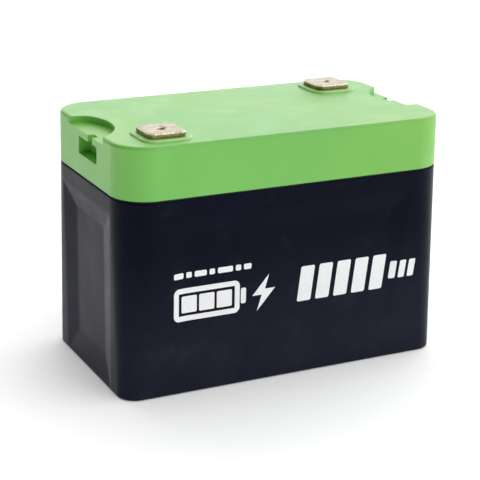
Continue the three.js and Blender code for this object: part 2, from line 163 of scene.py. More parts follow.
def ring(hx, hy, r, z, side=None, end=None, xs=SIDE_COLS, ys=END_COLS, extras=(0.34, 0.67), arc=ARC):
    """A rounded rectangle as points. side(x) and end(y) give how far in from the full size the flat walls lie."""
    lx, ly = hx - r, hy - r
    pts = []

    def straight(cols, length, put):
        out = []
        m = cols[-1]
        for t in reversed(extras):
            out.append((-(m + t * (length - m)), None))
        out += [(c, c) for c in cols]
        for t in extras:
            out.append((m + t * (length - m), None))
        for c, key in out:
            put(c, key)

    def corner(cx, cy, a0):
        for k in range(arc + 1):
            a = math.radians(a0 + 90.0 * k / arc)
            pts.append((cx + r * math.cos(a), cy + r * math.sin(a), z))

    def offset(fn, key, half, full):
        return half if fn is None or key is None else full - fn(key, z)

    straight(xs, lx, lambda c, key: pts.append((c, -offset(side, key, hy, WIDTH / 2), z)))
    corner(lx, -ly, -90)
    straight(ys, ly, lambda c, key: pts.append((offset(end, key, hx, LENGTH / 2), c, z)))
    corner(lx, ly, 0)
    straight(xs, lx, lambda c, key: pts.append((-c, offset(side, key, hy, WIDTH / 2), z)))
    corner(-lx, ly, 90)
    straight(ys, ly, lambda c, key: pts.append((-offset(end, key, hx, LENGTH / 2), -c, z)))
    corner(-lx, -ly, 180)
    return pts


def plain_ring(hx, hy, r, z, arc=ARC, n=4):
    cx = np.linspace(-(hx - r), hx - r, n + 2)[1:-1] if n else np.array([])
    cy = np.linspace(-(hy - r), hy - r, n + 2)[1:-1] if n else np.array([])
    pts = []
    for x in cx:
        pts.append((x, -hy, z))
    for k in range(arc + 1):
        a = math.radians(-90 + 90 * k / arc)
        pts.append((hx - r + r * math.cos(a), -(hy - r) + r * math.sin(a), z))
    for y in cy:
        pts.append((hx, y, z))
    for k in range(arc + 1):
        a = math.radians(90 * k / arc)
        pts.append((hx - r + r * math.cos(a), hy - r + r * math.sin(a), z))
    for x in cx[::-1]:
        pts.append((x, hy, z))
    for k in range(arc + 1):
        a = math.radians(90 + 90 * k / arc)
        pts.append((-(hx - r) + r * math.cos(a), hy - r + r * math.sin(a), z))
    for y in cy[::-1]:
        pts.append((-hx, y, z))
    for k in range(arc + 1):
        a = math.radians(180 + 90 * k / arc)
        pts.append((-(hx - r) + r * math.cos(a), -(hy - r) + r * math.sin(a), z))
    return pts


def smin(a, b, k):
    h = max(0.0, min(1.0, 0.5 + 0.5 * (b - a) / k))
    return b + (a - b) * h - k * h * (1 - h)


def smax(a, b, k):
    return -smin(-a, -b, k)


def wall_in(z, draft):
    return draft * max(0.0, CASE_TOP - z) / (CASE_TOP - BASE_EDGE)


def panel_depth(u, z, panel, draft, k=0.42):
    """How far in from the full size the wall lies at u along the side and height z."""
    depth = panel["depth"]
    d = smin(depth, (panel["outer"] - abs(u)) * depth / (panel["outer"] - panel["inner"]), k)
    d = smin(d, (PANEL_TOP_OUT - z) * depth / (PANEL_TOP_OUT - panel["top_in"]), k)
    if panel["low_in"] is not None:
        sl = (panel["low_in"] - 0.6) / (depth - draft)
        d = smin(d, (z - panel["low_in"]) / sl + depth, k)
    return smax(wall_in(z, draft), d, k * 0.8)


def side_in(x, z):
    return panel_depth(x, z, SIDE_PANEL, DRAFT_SIDE)


def end_in(y, z):
    return panel_depth(y, z, END_PANEL, DRAFT_END)


# ---------------------------------------------------------------- materials
class Nodes:
    """Short calls that build a node tree."""

    def __init__(self, name):
        self.m = bpy.data.materials.new(name)
        self.m.use_nodes = True
        self.t = self.m.node_tree
        self.t.nodes.clear()
        self.out = self.t.nodes.new("ShaderNodeOutputMaterial")
        self.b = self.t.nodes.new("ShaderNodeBsdfPrincipled")
        self.t.links.new(self.b.outputs[0], self.out.inputs[0])
        self.tc = self.t.nodes.new("ShaderNodeTexCoord")
        self.p = self.tc.outputs["Object"]

    def link(self, a, b):
        self.t.links.new(a, b)

    def mapping(self, scale, rotation=(0, 0, 0), location=(0, 0, 0)):
        n = self.t.nodes.new("ShaderNodeMapping")
        n.inputs["Scale"].default_value = scale
        n.inputs["Rotation"].default_value = rotation
        n.inputs["Location"].default_value = location
        self.link(self.p, n.inputs["Vector"])
        return n.outputs[0]

    def noise(self, scale, detail=3.0, rough=0.5, distort=0.0, vector=None):
        n = self.t.nodes.new("ShaderNodeTexNoise")
        n.inputs["Scale"].default_value = scale
        n.inputs["Detail"].default_value = detail
        n.inputs["Roughness"].default_value = rough
        n.inputs["Distortion"].default_value = distort
        self.link(vector or self.p, n.inputs["Vector"])
        return n.outputs["Fac"]

    def voronoi(self, scale, vector=None, feature="F1"):
        n = self.t.nodes.new("ShaderNodeTexVoronoi")
        n.feature = feature
        n.inputs["Scale"].default_value = scale
        self.link(vector or self.p, n.inputs["Vector"])
        return n.outputs["Distance"]

    def wave(self, scale, distort=0.0, direction="X", vector=None):
        n = self.t.nodes.new("ShaderNodeTexWave")
        n.bands_direction = direction
        n.inputs["Scale"].default_value = scale
        n.inputs["Distortion"].default_value = distort
        self.link(vector or self.p, n.inputs["Vector"])
        return n.outputs["Fac"]

    def ramp(self, value, lo, hi, a=0.0, b=1.0):
        n = self.t.nodes.new("ShaderNodeMapRange")
        n.clamp = True
        n.inputs["From Min"].default_value = lo
        n.inputs["From Max"].default_value = hi
        n.inputs["To Min"].default_value = a
        n.inputs["To Max"].default_value = b
        self.link(value, n.inputs["Value"])
        return n.outputs[0]

    def math(self, op, a, b):
        n = self.t.nodes.new("ShaderNodeMath")
        n.operation = op
        for i, v in enumerate((a, b)):
            if isinstance(v, (int, float)):
                n.inputs[i].default_value = v
            else:
                self.link(v, n.inputs[i])
        return n.outputs[0]

    def mix(self, fac, a, b):
        n = self.t.nodes.new("ShaderNodeMix")
        n.data_type = "RGBA"
        n.clamp_factor = True
        for name, v in (("Factor", fac), ("A", a), ("B", b)):
            socket = [s for s in n.inputs if s.name == name and (s.type == "RGBA" or name == "Factor" and s.type == "VALUE")][0]
            if isinstance(v, (tuple, list)):
                socket.default_value = (*v, 1.0) if len(v) == 3 else v
            elif isinstance(v, (int, float)):
                socket.default_value = v
            else:
                self.link(v, socket)
        return [s for s in n.outputs if s.type == "RGBA"][0]

    def z(self):
        n = self.t.nodes.new("ShaderNodeSeparateXYZ")
        self.link(self.p, n.inputs[0])
        return n.outputs

    def bump(self, parts):
        """parts: (height, depth in metres) pairs, added one over the other."""
        normal = None
        for height, depth in parts:
            n = self.t.nodes.new("ShaderNodeBump")
            n.inputs["Strength"].default_value = 1.0
            n.inputs["Distance"].default_value = depth
            self.link(height, n.inputs["Height"])
            if normal is not None:
                self.link(normal, n.inputs["Normal"])
            normal = n.outputs[0]
        self.link(normal, self.b.inputs["Normal"])

    def set(self, **kw):
        for k, v in kw.items():
            socket = self.b.inputs[k.replace("_", " ")]
            if isinstance(v, (int, float)):
                socket.default_value = v
            elif isinstance(v, (tuple, list)):
                socket.default_value = (*v, 1.0) if len(v) == 3 else v
            else:
                self.link(v, socket)
        return self


def shade(c, f):
    return tuple(min(1.0, x * f) for x in c)


def moulded_plastic(name, base, rough, ior, grain=0.00002, scuff=0.10, mottle=0.06, dust=(0.5, 0.5, 0.48), dust_amount=0.06, warm=None, highlight_band=None, floor_sheen=None):
    """Injection-moulded plastic: a fine spark-eroded grain, faint flow mottling, scuffed and dusty patches, and
    optionally a painted highlight between two heights and a painted floor reflection towards the base.
    """
    n = Nodes(name)
    flow = n.noise(11.0, 4.0, 0.55, 0.6)
    fine = n.noise(1500.0, 2.0, 0.6)
    cells = n.voronoi(900.0)
    rub = n.noise(38.0, 5.0, 0.62, 0.3)
    speck = n.noise(420.0, 2.0, 0.5)
    scratch = n.noise(1.0, 3.0, 0.6, 0.0, n.mapping((30.0, 520.0, 620.0), (0.25, 0.12, 0.35)))
    colour = n.mix(n.ramp(flow, 0.35, 0.66), shade(base, 1 - mottle), shade(base, 1 + mottle))
    if warm:        # slow drift of the pigment along the flow from the gates
        drift = n.noise(5.5, 2.0, 0.5, 0.8)
        colour = n.mix(n.ramp(drift, 0.42, 0.62, 0.0, 0.8), colour, warm)
    if floor_sheen:     # painted reflection of the pale floor: the colour turns paler towards the base, broken up by the rub noise
        top, foot, sheen_tint = floor_sheen
        amount = n.math("MULTIPLY", n.ramp(n.z()[2], top, foot), n.ramp(rub, 0.28, 0.66, 0.6, 1.0))
        colour = n.mix(n.math("MULTIPLY", amount, 0.85), colour, sheen_tint)
    if highlight_band:      # painted highlight: a paler colour on the surfaces between two heights, broken up by the rub noise
        low, high, pale = highlight_band
        band = n.math("MULTIPLY", n.ramp(n.z()[2], low, low + 0.0004), n.ramp(n.z()[2], high, high - 0.0002))
        colour = n.mix(n.math("MULTIPLY", band, n.ramp(rub, 0.30, 0.60, 0.55, 0.9)), colour, pale)
    colour = n.mix(n.math("MULTIPLY", n.ramp(rub, 0.56, 0.74), dust_amount), colour, dust)
    colour = n.mix(n.math("MULTIPLY", n.ramp(speck, 0.70, 0.78), dust_amount * 1.6), colour, dust)
    n.set(Base_Color=colour, IOR=ior, Metallic=0.0)
    r = n.math("ADD", n.ramp(rub, 0.3, 0.72, rough - 0.05, rough + 0.07), n.ramp(scratch, 0.62, 0.8, 0.0, scuff))
    n.set(Roughness=r)
    n.bump([(flow, 0.00006), (cells, grain), (fine, grain * 0.8), (n.ramp(scratch, 0.66, 0.85), 0.000008)])
    return n.m


def metal(name, base, tint, rough, brush=(900.0, 40.0, 40.0), stain=0.25, depth=0.000006):
    """Plated or rolled metal: fine rolling lines, cloudy tarnish and a few small pits."""
    n = Nodes(name)
    cloud = n.noise(120.0, 4.0, 0.6, 0.4)
    spots = n.noise(520.0, 3.0, 0.55)
    lines = n.noise(1.0, 2.0, 0.5, 0.0, n.mapping(brush))
    colour = n.mix(n.math("MULTIPLY", n.ramp(cloud, 0.38, 0.7), stain), base, tint)
    colour = n.mix(n.ramp(spots, 0.66, 0.76, 0.0, 0.35), colour, shade(tint, 0.6))
    r = n.math("ADD", n.ramp(cloud, 0.3, 0.7, rough - 0.06, rough + 0.10), n.ramp(lines, 0.3, 0.7, -0.04, 0.06))
    n.set(Base_Color=colour, Metallic=1.0, Roughness=r)
    n.bump([(lines, depth), (spots, depth * 1.5)])
    return n.m


def soft(name, base, rough, pore=2200.0, depth=0.00004):
    """Rubber or foam: matt, with pores and a faint bloom."""
    n = Nodes(name)
    bloom = n.noise(60.0, 4.0, 0.6)
    pores = n.voronoi(pore)
    colour = n.mix(n.ramp(bloom, 0.35, 0.7), shade(base, 0.8), shade(base, 1.5))
    n.set(Base_Color=colour, Roughness=n.ramp(bloom, 0.3, 0.7, rough - 0.06, rough + 0.05))
    n.bump([(pores, depth)])
    return n.m


def wrapped(name, base, rough):
    """Heat-shrink film over a can: wrinkled slightly, glossy."""
    n = Nodes(name)
    wrinkle = n.noise(1.0, 3.0, 0.5, 0.5, n.mapping((60.0, 60.0, 18.0)))
    fine = n.noise(700.0, 2.0)
    colour = n.mix(n.ramp(wrinkle, 0.35, 0.7), shade(base, 0.9), shade(base, 1.12))
    n.set(Base_Color=colour, Roughness=n.ramp(fine, 0.3, 0.7, rough - 0.05, rough + 0.08))
    n.bump([(wrinkle, 0.0002), (fine, 0.00001)])
    return n.m


def woven(name, base, rough, pitch=900.0):
    """Glass cloth in epoxy, or a ribbed strap: a fine crossed weave."""
    n = Nodes(name)
    a = n.wave(pitch, 0.4, "X")
    b = n.wave(pitch, 0.4, "Z")
    weave = n.math("MULTIPLY", a, b)
    blotch = n.noise(70.0, 3.0)
    colour = n.mix(n.ramp(weave, 0.1, 0.7), shade(base, 0.85), shade(base, 1.12))
    colour = n.mix(n.ramp(blotch, 0.5, 0.75, 0.0, 0.25), colour, shade(base, 0.7))
    n.set(Base_Color=colour, Roughness=n.ramp(blotch, 0.3, 0.7, rough - 0.05, rough + 0.08))
    n.bump([(weave, 0.00004)])
    return n.m


LID_GREEN = (0.178, 0.540, 0.094)
CASE_BLACK = (0.0012, 0.0026, 0.0115)
PLATE_METAL = (0.40, 0.385, 0.30)

# the paler band on the terminal boss sides is a painted highlight
mat_lid = moulded_plastic("lid_plastic", LID_GREEN, 0.36, 1.47, grain=0.000014, scuff=0.08, mottle=0.035, dust=(0.62, 0.68, 0.52), dust_amount=0.08, warm=(0.235, 0.555, 0.082), highlight_band=((LID_TOP + 0.05) * MM, (BOSS_TOP - 0.06) * MM, (0.70, 0.84, 0.46)))
# the case turns paler towards its base: a painted reflection of the floor
mat_case = moulded_plastic("case_plastic", CASE_BLACK, 0.38, 1.15, grain=0.000022, scuff=0.10, mottle=0.10, dust=(0.05, 0.05, 0.055), dust_amount=0.10, floor_sheen=(0.125, 0.03, (0.017, 0.019, 0.034)))
for socket, value in (("Sheen Weight", 0.27), ("Sheen Roughness", 0.28)):     # the haze of fine dust at a low angle
    mat_case.node_tree.nodes["Principled BSDF"].inputs[socket].default_value = value
mat_gasket = soft("gasket_rubber", (0.010, 0.016, 0.010), 0.6)
mat_foam = soft("foam", (0.03, 0.032, 0.035), 0.9, 700.0, 0.0003)
mat_zinc = metal("zinc_steel", (0.60, 0.62, 0.66), (0.50, 0.48, 0.36), 0.30)
mat_copper = metal("copper", (0.78, 0.36, 0.22), (0.42, 0.20, 0.12), 0.30)
mat_aluminium = metal("heat_spreader_aluminium", (0.72, 0.73, 0.75), (0.55, 0.55, 0.56), 0.36)
mat_cell = wrapped("cell_wrap", (0.03, 0.12, 0.38), 0.32)
mat_board = woven("insulator_board", (0.62, 0.50, 0.22), 0.5, 1400.0)
mat_strap = woven("strap_plastic", (0.05, 0.18, 0.09), 0.55, 700.0)
mat_pcb = woven("circuit_board", (0.02, 0.16, 0.06), 0.35, 2200.0)
mat_tray = moulded_plastic("tray_plastic", (0.72, 0.71, 0.66), 0.45, 1.5)
mat_chip = moulded_plastic("component_plastic", (0.018, 0.018, 0.02), 0.5, 1.5)
mat_red = soft("lead_red", (0.45, 0.02, 0.02), 0.5, 1800.0, 0.00002)
mat_black = soft("lead_black", (0.015, 0.015, 0.015), 0.5, 1800.0, 0.00002)
mat_ribbon = moulded_plastic("ribbon_plastic", (0.70, 0.69, 0.64), 0.45, 1.5)

SLOT_MATERIALS = {
    "case_plastic": mat_case, "lid_plastic": mat_lid, "gasket_rubber": mat_gasket, "zinc_steel": mat_zinc, "foam": mat_foam,
    "cell_wrap": mat_cell, "insulator_board": mat_board, "strap_plastic": mat_strap, "copper": mat_copper,
    "tray_plastic": mat_tray, "heat_spreader_aluminium": mat_aluminium, "circuit_board": mat_pcb,
    "component_plastic": mat_chip, "lead_red": mat_red, "lead_black": mat_black, "ribbon_plastic": mat_ribbon,
}


def terminal_metal():
    """Plated pad: pale, warm and satin on top, with painted shade turning the sides darker bronze, a painted highlight
    along the bevel, and darker bronze worn spots.
    """
    n = Nodes("terminal_metal")
    cloud = n.noise(160.0, 4.0, 0.6, 0.5)
    spots = n.noise(620.0, 3.0, 0.55)
    lines = n.noise(1.0, 2.0, 0.5, 0.0, n.mapping((70.0, 1500.0, 70.0), (0, 0, 0.5)))
    height = n.z()[2]
    # painted shade: below the bevel the sides turn darker bronze
    side = n.ramp(height, (PAD_TOP - 0.85) * MM, (PAD_TOP - 1.5) * MM)
    bevel_highlight = n.math("MULTIPLY", n.ramp(height, (PAD_TOP - 0.06) * MM, (PAD_TOP - 0.45) * MM), n.ramp(spots, 0.36, 0.56))
    top = n.mix(n.math("MULTIPLY", n.ramp(cloud, 0.36, 0.68), 0.75), PLATE_METAL, (0.36, 0.27, 0.19))
    top = n.mix(bevel_highlight, top, (0.90, 0.86, 0.72))      # painted highlight along the bevel, broken up by the spot noise
    low = n.mix(n.ramp(cloud, 0.40, 0.66), (0.50, 0.37, 0.20), (0.33, 0.20, 0.075))
    colour = n.mix(side, top, low)
    colour = n.mix(n.ramp(spots, 0.64, 0.76, 0.0, 0.55), colour, (0.24, 0.15, 0.07))
    r = n.math("ADD", n.ramp(cloud, 0.3, 0.7, 0.32, 0.48), n.ramp(lines, 0.3, 0.7, -0.03, 0.07))
    n.set(Base_Color=colour, Metallic=1.0, Roughness=r)
    n.bump([(lines, 0.000006), (spots, 0.000012)])
    return n.m


def print_ink():
    """Screen print: white ink with a little of the ground showing through where it is rubbed."""
    n = Nodes("print_ink")
    cloud = n.noise(90.0, 5.0, 0.65, 0.4)
    speck = n.noise(900.0, 3.0, 0.6)
    worn = n.math("MULTIPLY", n.ramp(cloud, 0.50, 0.72), n.ramp(speck, 0.52, 0.66))
    colour = n.mix(n.math("MULTIPLY", worn, 0.30), (0.93, 0.935, 0.95), (0.42, 0.43, 0.46))
    n.set(Base_Color=colour, Roughness=n.ramp(cloud, 0.3, 0.7, 0.46, 0.6))
    n.bump([(speck, 0.000012)])
    return n.m


mat_terminal = terminal_metal()
mat_ink = print_ink()
SLOT_MATERIALS["terminal_metal"] = mat_terminal


# ---------------------------------------------------------------- case
def build_case():
    rings = []

    def dims(z):
        t = (CASE_TOP - z) / (CASE_TOP - BASE_EDGE)
        return LENGTH / 2 - DRAFT_END * t, WIDTH / 2 - DRAFT_SIDE * t, R_TOP + (R_BASE - R_TOP) * t

    e = 1.5
    hx, hy, r = dims(BASE_EDGE)
    for k in range(5):      # rounded edge under the base
        a = math.radians(90 * k / 4)
        inset = e * (1 - math.sin(a))
        z = e * (1 - math.cos(a))
        rings.append(ring(hx - inset, hy - inset, r - inset, z, None if inset > 0.01 else side_in, None if inset > 0.01 else end_in))
    levels = np.concatenate([np.linspace(3, 9, 4), np.linspace(11, 34, 17), np.linspace(40, 130, 16), np.linspace(134, 161, 24), np.linspace(163, 170, 4)])
    for z in levels:
        hx, hy, r = dims(z)
        rings.append(ring(hx, hy, r, z, side_in, end_in))
    e = 0.7
    for k in range(1, 5):   # rim
        a = math.radians(90 * k / 4)
        inset = e * (1 - math.cos(a))
        rings.append(ring(LENGTH / 2 - inset, WIDTH / 2 - inset, R_TOP - inset, CASE_TOP - e + e * math.sin(a)))
    lx, ly, lr = LENGTH / 2 - LID_WALL - 0.4, WIDTH / 2 - LID_WALL - 0.4, R_TOP - LID_WALL - 0.4
    rings.append(ring(lx + 0.4, ly + 0.4, lr + 0.4, CASE_TOP))
    rings.append(ring(lx, ly, lr, CASE_TOP + 0.4))
    rings.append(ring(lx, ly, lr, LIP_TOP - 0.6))
    rings.append(ring(lx - 0.18, ly - 0.18, lr - 0.18, LIP_TOP - 0.18))
    rings.append(ring(lx - 0.6, ly - 0.6, lr - 0.6, LIP_TOP))
    rings.append(ring(CAVITY_X + 0.4, CAVITY_Y + 0.4, 25.4, LIP_TOP))
    rings.append(ring(CAVITY_X, CAVITY_Y, 25.0, LIP_TOP - 0.5))
    for z in (150, 120, 90, 60, 30, 8):
        rings.append(ring(CAVITY_X, CAVITY_Y, 14 + 11 * (z - FLOOR_T) / (LIP_TOP + 1 - FLOOR_T), z))
    for k in range(1, 5):   # rounded foot of the cavity
        a = math.radians(90 * k / 4)
        inset = 3 * (1 - math.cos(a))
        rings.append(ring(CAVITY_X - inset, CAVITY_Y - inset, 14.2 - inset, FLOOR_T + 3 - 3 * math.sin(a)))
    verts, faces = bridge(rings)
    return make_object("case_body", verts, faces)


case = smooth(build_case(), 40)
piece(case, mat_case, "case_plastic", "case_shell")


# ---------------------------------------------------------------- seam gasket
def build_gasket():
    rings = []
    low, high = CASE_TOP + 0.25, LID_BOTTOM - 0.25
    mid = (low + high) / 2
    half = (high - low) / 2
    out, inn = 0.9, LID_WALL
    for k in range(7):
        a = math.radians(-90 + 180 * k / 6)
        rings.append(plain_ring(LENGTH / 2 - out - half * 0.6 * (1 - math.cos(a)), WIDTH / 2 - out - half * 0.6 * (1 - math.cos(a)),
                                R_TOP - out - half * 0.6 * (1 - math.cos(a)), mid + half * math.sin(a)))
    rings.append(plain_ring(LENGTH / 2 - inn, WIDTH / 2 - inn, R_TOP - inn, high))
    rings.append(plain_ring(LENGTH / 2 - inn, WIDTH / 2 - inn, R_TOP - inn, low))
    verts, faces = bridge(rings, False, False, True)
    return make_object("seal_ring", verts, faces)


gasket = smooth(build_gasket(), 40)
piece(gasket, mat_gasket, "gasket_rubber", "seam_gasket")


# ---------------------------------------------------------------- lid
def lid_outer():
    rings = []
    e0 = 0.6
    for k in range(4):
        a = math.radians(90 * k / 3)
        inset = e0 * (1 - math.sin(a))
        rings.append(plain_ring(LENGTH / 2 - inset, WIDTH / 2 - inset, R_TOP - inset, LID_BOTTOM + e0 * (1 - math.cos(a)), 20))
    e = 3.0
    for k in range(9):
        a = math.radians(90 * k / 8)
        inset = LID_DRAFT + e * (1 - math.cos(a))
        rings.append(plain_ring(LENGTH / 2 - inset, WIDTH / 2 - inset, R_TOP - inset, LID_TOP - e + e * math.sin(a), 20))
    verts, faces = bridge(rings)
    return make_object("lid_moulding", verts, faces)


def revolve(profile, n, cx, cy):
    """Closed turned solid from (radius, z) points, first and last on the axis."""
    rings = []
    for r, z in profile[1:-1]:
        rings.append([(cx + r * math.cos(2 * math.pi * i / n), cy + r * math.sin(2 * math.pi * i / n), z) for i in range(n)])
    return bridge(rings)


def box_mesh(x0, x1, y0, y1, z0, z1):
    rings = [[(x0, y0, z), (x1, y0, z), (x1, y1, z), (x0, y1, z)] for z in (z0, z1)]
    return bridge(rings)


def offset_outline(points, d):
    """The outline moved outwards by d along its own normals; points counter-clockwise in a plane."""
    pts = np.array(points, float)
    prev, nxt = np.roll(pts, 1, 0), np.roll(pts, -1, 0)
    t = (pts - prev) / np.maximum(np.linalg.norm(pts - prev, axis=1)[:, None], 1e-9) + (nxt - pts) / np.maximum(np.linalg.norm(nxt - pts, axis=1)[:, None], 1e-9)
    t /= np.maximum(np.linalg.norm(t, axis=1)[:, None], 1e-9)
    n = np.stack([t[:, 1], -t[:, 0]], 1)
    return pts + n * d


def notch_outline(n_arc=80, n_corner=12):
    """The finger notch in plan, x outwards from the right-hand end face: a main arc, a tighter corner on the side away
    from the terminal, and two rounded corners at the face."""
    r, cx, cy, corner, side, q = (NOTCH[k] for k in ("r", "cx", "cy", "corner", "side", "round"))
    rx = -LID_DRAFT - q
    ry = math.sqrt((r + q) ** 2 - (cx - rx) ** 2)
    tilt = math.atan2(ry, cx - rx)
    ky = corner - side
    kx = cx - math.sqrt((r - corner) ** 2 - (ky - cy) ** 2)
    end = math.atan2(ky - cy, kx - cx) + 2 * math.pi
    pts = [(6.0, -side - q), (6.0, cy + ry)]

    def arc(x, y, radius, a0, a1, n, first=0):
        for k in range(first, n + 1):
            a = a0 + (a1 - a0) * k / n
            pts.append((x + radius * math.cos(a), y + radius * math.sin(a)))

    arc(rx, cy + ry, q, 0.0, -tilt, n_corner)
    arc(cx, cy, r, math.pi - tilt, end, n_arc, 1)
    arc(kx, ky, corner, end, 1.5 * math.pi, n_corner + 4, 1)
    arc(rx, -side - q, q, math.pi / 2, 0.0, n_corner)
    return pts


def build_lid():
    lid = lid_outer()
    rings = [plain_ring(LENGTH / 2 - LID_WALL, WIDTH / 2 - LID_WALL, R_TOP - LID_WALL, LID_BOTTOM - 2, 20),
             plain_ring(LENGTH / 2 - LID_WALL, WIDTH / 2 - LID_WALL, R_TOP - LID_WALL, LID_CEILING - 1.5, 20),
             plain_ring(LENGTH / 2 - LID_WALL - 1.5, WIDTH / 2 - LID_WALL - 1.5, R_TOP - LID_WALL - 1.5, LID_CEILING, 20)]
    hollow = make_object("hollow", *bridge(rings))
    blocks = []
    bx = LENGTH / 2 - 28
    for s in (-1, 1):
        xs = sorted((s * bx, s * (LENGTH / 2 + 5)))
        blocks.append(make_object("block", *box_mesh(xs[0], xs[1], -49, 49, SOCKET_LOW - 3.4, LID_TOP + 2)))
    combine(hollow, blocks, "DIFFERENCE")
    combine(lid, [hollow], "DIFFERENCE")
    bosses = []
    for s in (-1, 1):       # raised seats under the terminals, with a small cove at the foot and a rounded edge
        rr = []
        h = BOSS / 2
        rr.append([(x + s * TERM_X, y + s * TERM_Y, z) for x, y, z in plain_ring(h - 0.3, h - 0.3, BOSS_R - 0.3, LID_TOP - 1.6, 10, 2)])
        rr.append([(x + s * TERM_X, y + s * TERM_Y, z) for x, y, z in plain_ring(h + 0.55, h + 0.55, BOSS_R + 0.55, LID_TOP - 0.05, 10, 2)])
        for k in range(1, 5):
            a = math.radians(90 * k / 4)
            o = 0.6 * (1 - math.sin(a))
            rr.append([(x + s * TERM_X, y + s * TERM_Y, z) for x, y, z in plain_ring(h + o, h + o, BOSS_R + o, LID_TOP - 0.02 + 0.6 * (1 - math.cos(a)), 10, 2)])
        e = 1.35
        for k in range(6):
            a = math.radians(90 * k / 5)
            o = e * (1 - math.cos(a))
            rr.append([(x + s * TERM_X, y + s * TERM_Y, z) for x, y, z in plain_ring(h - o, h - o, BOSS_R - o, BOSS_TOP - e + e * math.sin(a), 10, 2)])
        bosses.append(make_object("boss", *bridge(rr)))
    combine(lid, bosses, "UNION")
    cutters = []
    for s in (-1, 1):
        face = LENGTH / 2
        # finger notch with a coved floor and an eased rim
        e, c = 0.8, 1.0
        plan = notch_outline()
        levels = [(NOTCH_FLOOR + c - c * math.cos(math.radians(90 * k / 4)), -c + c * math.sin(math.radians(90 * k / 4))) for k in range(5)]
        levels += [(LID_TOP - e + e * math.sin(math.radians(90 * k / 4)), e * (1 - math.cos(math.radians(90 * k / 4)))) for k in range(5)]
        levels.append((LID_TOP + 6, e))
        rr = []
        for z, grow in levels:
            loop = offset_outline(plan, grow)
            rr.append([(s * (face + x), s * y, z) for x, y in loop])
        cutters.append(make_object("notch", *bridge(rr)))
        # handle socket: a box with rounded corners whose mouth is eased at the end face
        cz, hz = (SOCKET_LOW + SOCKET_HIGH) / 2, (SOCKET_HIGH - SOCKET_LOW) / 2
        rr = []
        for depth, grow in [(-SOCKET_DEPTH, -0.6), (-SOCKET_DEPTH + 0.2, -0.2), (-SOCKET_DEPTH + 0.6, 0.0), (-0.6, 0.0), (-0.36, 0.05), (-0.12, 0.18), (0.06, 0.45), (5, 0.45)]:
            loop = plain_ring(SOCKET_HALF + grow, hz + grow, 1.0 + grow, 0, 5, 1)
            # u to the right when looking in along the cutter, keeping it counter-clockwise about the outward direction
            rr.append([(s * (face + depth), s * (u + SOCKET_Y), cz + v) for u, v, _ in loop])
        cutters.append(make_object("socket", *bridge(rr)))
        # neck slot from the notch's floor down into the socket
        q = NECK_R
        outline = [(6, -NECK_HALF), (0.0, -NECK_HALF)]
        for k in range(7):
            a = math.radians(90 * k / 6)
            outline.append((-NECK_DEPTH + q - q * math.sin(a), -NECK_HALF + q - q * math.cos(a)))
        outline += [(x, -y) for x, y in reversed(outline)]
        outline = outline[::-1]
        rr = []
        for z, grow in [(SOCKET_HIGH - 1.5, 0.0), (NOTCH_FLOOR - 0.5, 0.0), (NOTCH_FLOOR - 0.3, 0.04), (NOTCH_FLOOR - 0.1, 0.15), (NOTCH_FLOOR + 0.04, 0.4), (NOTCH_FLOOR + 2.5, 0.4)]:
            loop = offset_outline(outline, grow)
            rr.append([(s * (face + x), s * (y + NECK_Y), z) for x, y in loop])
        cutters.append(make_object("neck", *bridge(rr)))
        cutters.append(make_object("post_hole", *revolve([(0, LID_CEILING - 2), (POST_R + 0.4, LID_CEILING - 2), (POST_R + 0.4, BOSS_TOP + 2), (0, BOSS_TOP + 2)], 48, s * TERM_X, s * TERM_Y)))
    for c in cutters:       # every cutter faces outwards
        bm_fix(c)
    combine(lid, cutters, "DIFFERENCE")
    return lid


def bm_fix(obj):
    import bmesh
    bm = bmesh.new()
    bm.from_mesh(obj.data)
    bmesh.ops.recalc_face_normals(bm, faces=bm.faces)
    bm.to_mesh(obj.data)
    bm.free()


def tidy(obj, dist=0.000004):
    import bmesh
    bm = bmesh.new()
    bm.from_mesh(obj.data)
    bmesh.ops.remove_doubles(bm, verts=bm.verts, dist=dist)
    bmesh.ops.dissolve_degenerate(bm, edges=bm.edges, dist=dist)
    loose = [v for v in bm.verts if not v.link_faces]
    bmesh.ops.delete(bm, geom=loose, context="VERTS")
    bm.to_mesh(obj.data)
    print(obj.name, "open edges", sum(1 for e in bm.edges if len(e.link_faces) != 2), "faces", len(bm.faces))
    bm.free()
    return obj


lid = tidy(build_lid())
smooth(lid, 32)
piece(lid, mat_lid, "lid_plastic", "lid_cover")


